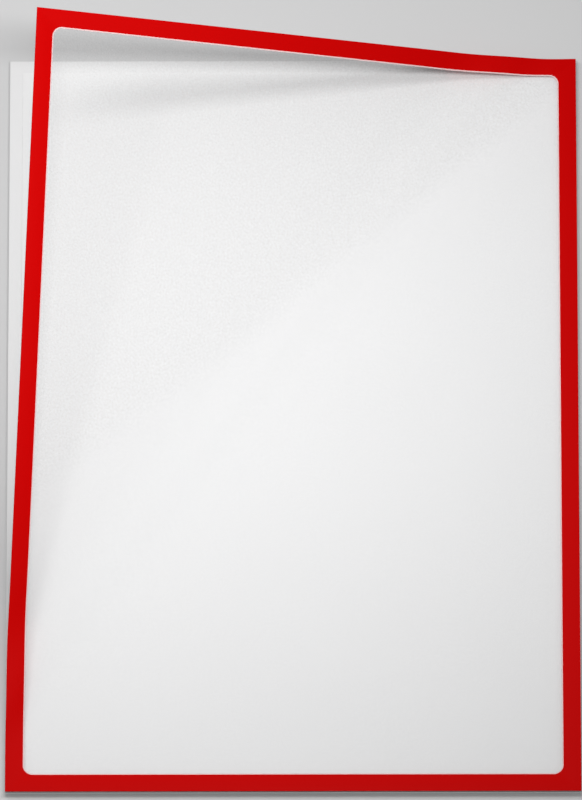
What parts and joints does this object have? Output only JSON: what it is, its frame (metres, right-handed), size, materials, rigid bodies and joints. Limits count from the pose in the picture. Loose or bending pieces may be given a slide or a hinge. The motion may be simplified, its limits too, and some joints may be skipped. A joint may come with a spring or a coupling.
{
  "type": "magnetic photo frame",
  "caption": "Flat flexible picture frame with a red border, matte clear window and magnetic strips; one corner of the front leaf peels up so that a sheet can be slid in.",
  "frame": {"origin": "middle of the outline, on the rear face of the rear magnetic strips", "axes": "+Z out of the front of the frame, +Y up the frame, +X to the right seen from the front"},
  "size_m": [0.22, 0.307, 0.0701],
  "materials": {
    "border": "red film, satin",
    "film": "clear matte film",
    "magnet": "dark flexible magnetic rubber",
    "tape": "pale adhesive tape",
    "seam": "white joining strip",
    "panel": "white plastic sheet",
    "insert": "blank white sheet"
  },
  "bodies": {
    "pocket": {"back_panel": "panel", "rear_magnet_top": "magnet", "rear_magnet_bottom": "magnet", "rear_magnet_left": "magnet", "rear_magnet_right": "magnet", "rear_tape_top": "tape", "rear_tape_bottom": "tape", "rear_tape_left": "tape", "rear_tape_right": "tape", "seam_right": "seam", "seam_bottom": "seam", "leaf_magnet_right": "magnet", "leaf_magnet_bottom": "magnet", "leaf_tape_right": "tape", "leaf_tape_bottom": "tape", "window_film_base": "film", "border_base": "border"},
    "bend_strip": {"window_film_bend": "film", "border_bend_left": "border", "border_bend_top": "border"},
    "lifted_corner": {"window_film_corner": "film", "border_corner": "border", "leaf_magnet_top": "magnet", "leaf_magnet_left": "magnet", "leaf_tape_top": "tape", "leaf_tape_left": "tape"},
    "insert": {"insert_sheet": "insert"}
  },
  "joints": [
    {"name": "corner_lift", "type": "hinge", "parent": "pocket", "child": "bend_strip", "pos_m": [-0.00813, 0.00582, 0.00285], "axis": [0.5825, 0.8128, 0], "range_deg": [-14, 28]},
    {"name": "corner_curl", "type": "hinge", "parent": "bend_strip", "child": "lifted_corner", "pos_m": [-0.02706, 0.01939, 0.00866], "axis": [0.5825, 0.8128, 0], "range_deg": [-11, 22]},
    {"name": "insert_slide", "type": "slide", "parent": "pocket", "child": "insert", "axis": [0, 1, 0], "range_m": [0, 0.285]}
  ],
  "couplings": [
    {"joint": "corner_curl", "follows": "corner_lift", "ratio": 0.78571}
  ]
}
